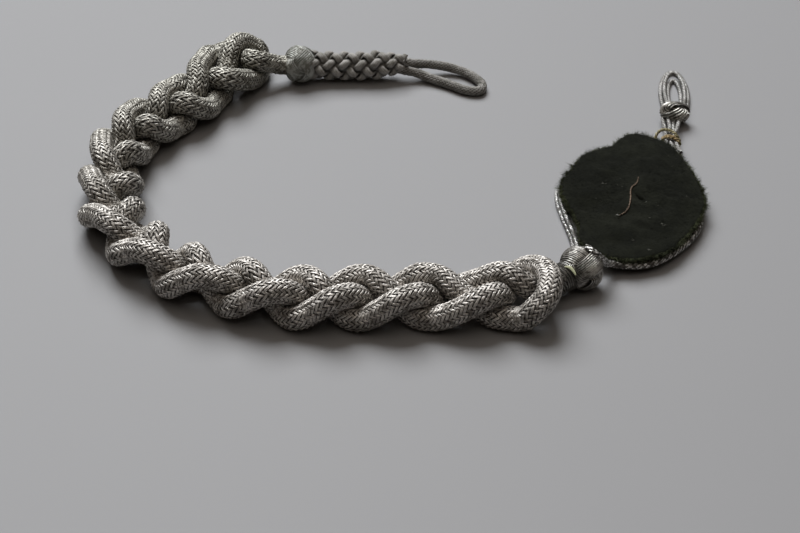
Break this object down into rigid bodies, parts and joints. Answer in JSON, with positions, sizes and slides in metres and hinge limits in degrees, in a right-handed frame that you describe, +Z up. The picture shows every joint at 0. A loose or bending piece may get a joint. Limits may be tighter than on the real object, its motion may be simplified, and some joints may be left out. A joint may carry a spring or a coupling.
{
  "type": "marksmanship lanyard",
  "caption": "Plaited silver-coloured cord lanyard lying flat in a curve, with knots, a braided shoulder end, a button loop and a felt-backed badge face down.",
  "frame": {"origin": "middle of the outline's length and width, on the surface it lies on", "axes": "+X along the long side, from the bend of the plait towards the badge; +Y from the near stretch of the plait towards the shoulder end; +Z up from the surface"},
  "size_m": [0.1611, 0.1283, 0.0125],
  "materials": {
    "cord_braid": "tubular twill braid of flat silver-coloured metal wire, satin, dark in the gaps",
    "wire_band": "fine silver-coloured metal wire laid side by side, satin, slightly tarnished",
    "badge_front": "plain grey stiffened backing",
    "felt": "very dark green wool felt, matt, with a fuzzy cut edge",
    "binding": "dull yellow-brown sewing thread"
  },
  "bodies": {
    "root": {"plaited_cord": "cord_braid", "shoulder_knot": "wire_band", "shoulder_sinnet": "wire_band", "button_loop": "wire_band", "badge_knot": "wire_band", "badge_base": "badge_front", "felt_backing": "felt", "rim_cord": "wire_band", "loop_knot": "wire_band", "side_cord_1": "wire_band", "side_cord_2": "wire_band", "side_cord_3": "wire_band", "badge_loop_cord_1": "wire_band", "badge_loop_cord_2": "wire_band", "badge_loop_cord_3": "wire_band", "loop_leg_1": "wire_band", "loop_leg_2": "wire_band", "loop_leg_3": "wire_band", "loop_leg_4": "wire_band", "binding_thread_1": "binding", "binding_thread_2": "binding"}
  },
  "joints": []
}
